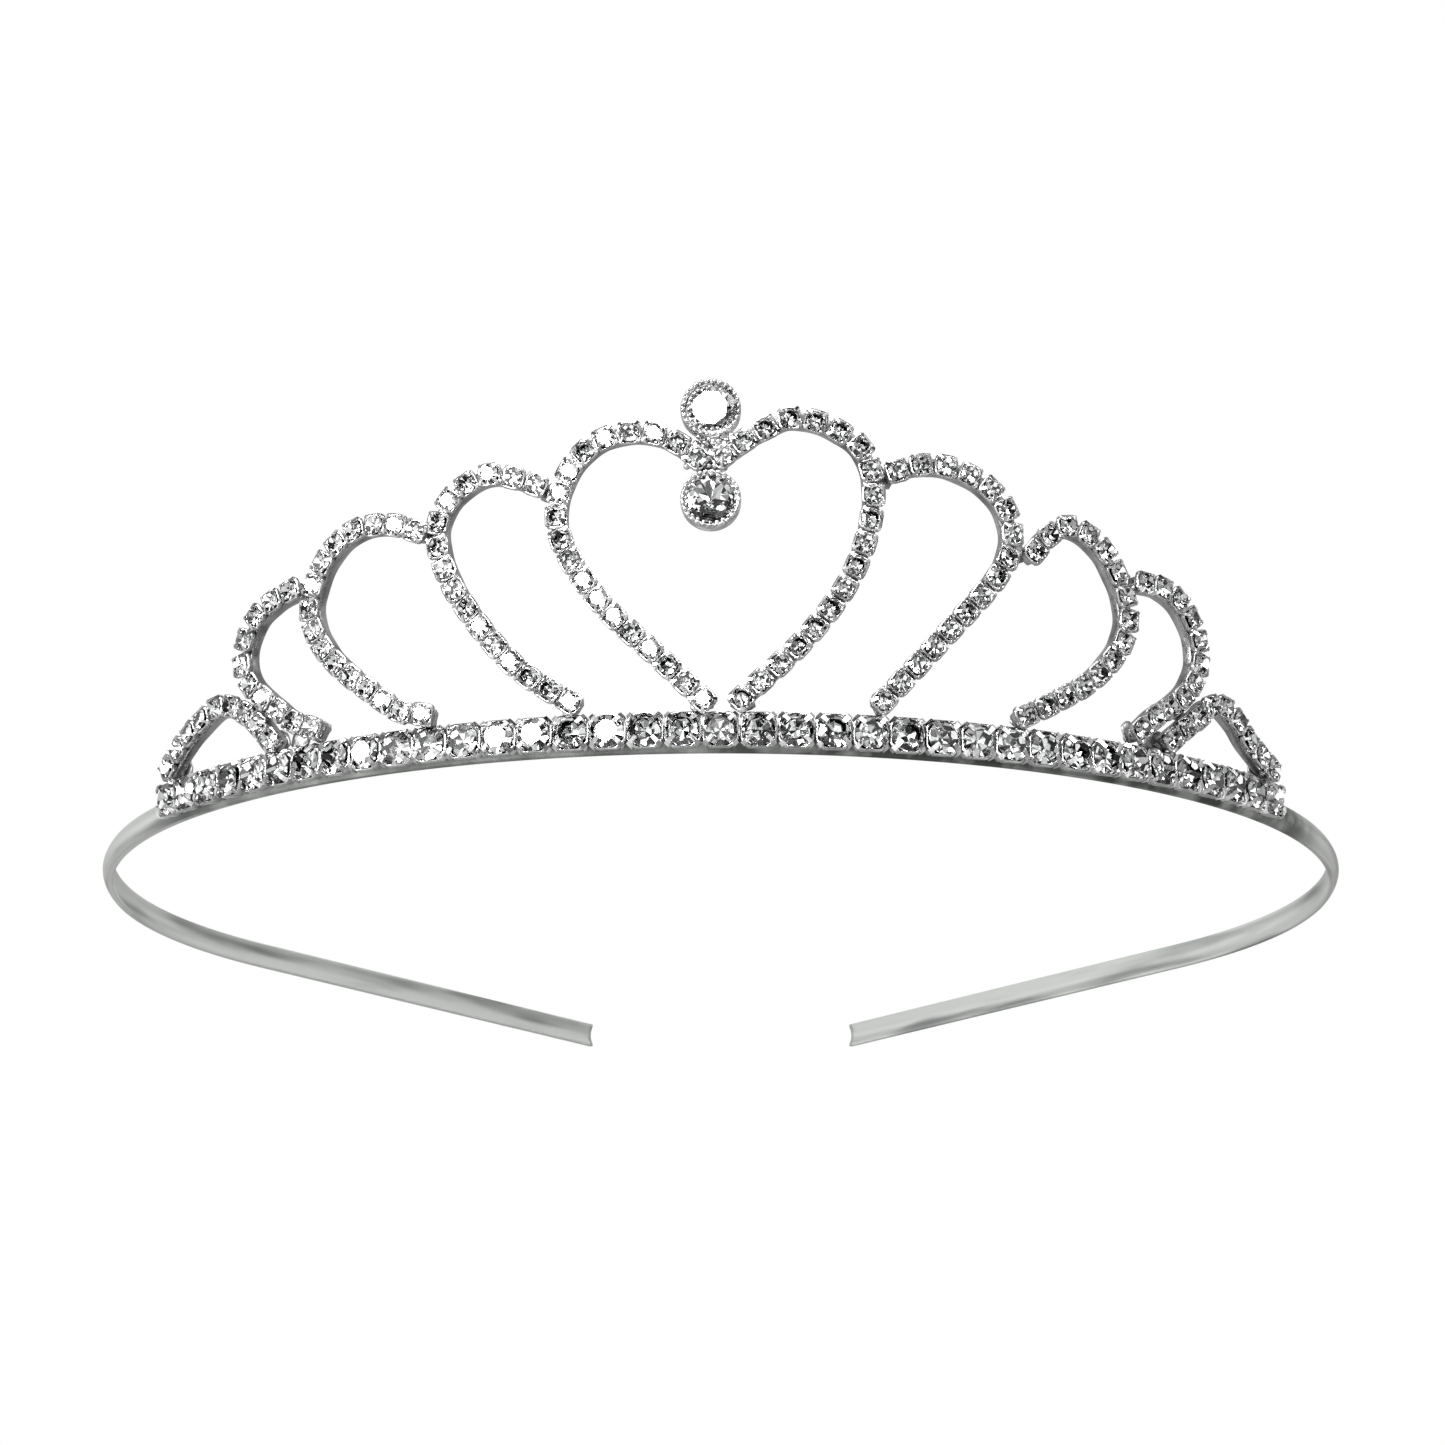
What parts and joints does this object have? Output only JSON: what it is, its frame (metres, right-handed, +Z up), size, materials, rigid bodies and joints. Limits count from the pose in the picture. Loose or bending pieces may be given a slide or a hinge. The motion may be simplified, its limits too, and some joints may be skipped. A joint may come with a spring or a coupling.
{
  "type": "bridal tiara",
  "caption": "Bridal tiara: a sprung steel headband with a row of cup-set clear stones and, above it, a stone-set heart flanked by loops, with two large round stones at the middle.",
  "frame": {"origin": "middle of the base of the whole piece: centred in X and Y on the bounding box, with Z zero on the plane the headband's lower edge rests on", "axes": "+Z up, from the headband towards the top stone; the stones face -Y, the open ends of the headband point to +Y, and +X is to the right as seen from the front"},
  "size_m": [0.129, 0.1536, 0.0357],
  "materials": {
    "headband_steel": "satin",
    "plated_wire": "plated, slightly satin",
    "plated_cup": "bright plated",
    "plated_bezel": "bright plated",
    "clear_stone": "cut and polished",
    "foil_back": "silver foil behind the stone",
    "solder": "dull, flowed"
  },
  "bodies": {
    "root": {"headband": "headband_steel", "row_cups": "plated_cup", "row_links": "plated_cup", "row_stones": "clear_stone", "heart_left_wire": "plated_wire", "heart_left_cups": "plated_cup", "heart_left_stones": "clear_stone", "heart_right_wire": "plated_wire", "heart_right_cups": "plated_cup", "heart_right_stones": "clear_stone", "loop2_left_wire": "plated_wire", "loop2_left_cups": "plated_cup", "loop2_left_stones": "clear_stone", "loop2_right_wire": "plated_wire", "loop2_right_cups": "plated_cup", "loop2_right_stones": "clear_stone", "loop3_left_wire": "plated_wire", "loop3_left_cups": "plated_cup", "loop3_left_stones": "clear_stone", "loop3_right_wire": "plated_wire", "loop3_right_cups": "plated_cup", "loop3_right_stones": "clear_stone", "loop4_left_wire": "plated_wire", "loop4_left_cups": "plated_cup", "loop4_left_stones": "clear_stone", "loop4_right_wire": "plated_wire", "loop4_right_cups": "plated_cup", "loop4_right_stones": "clear_stone", "loop5_left_wire": "plated_wire", "loop5_left_cups": "plated_cup", "loop5_left_stones": "clear_stone", "loop5_right_wire": "plated_wire", "loop5_right_cups": "plated_cup", "loop5_right_stones": "clear_stone", "top_bezel": "plated_bezel", "top_stone": "clear_stone", "drop_bezel": "plated_bezel", "drop_stone": "clear_stone", "foot_solder": "solder", "crossing_solder": "solder", "centre_solder": "solder"}
  },
  "joints": []
}
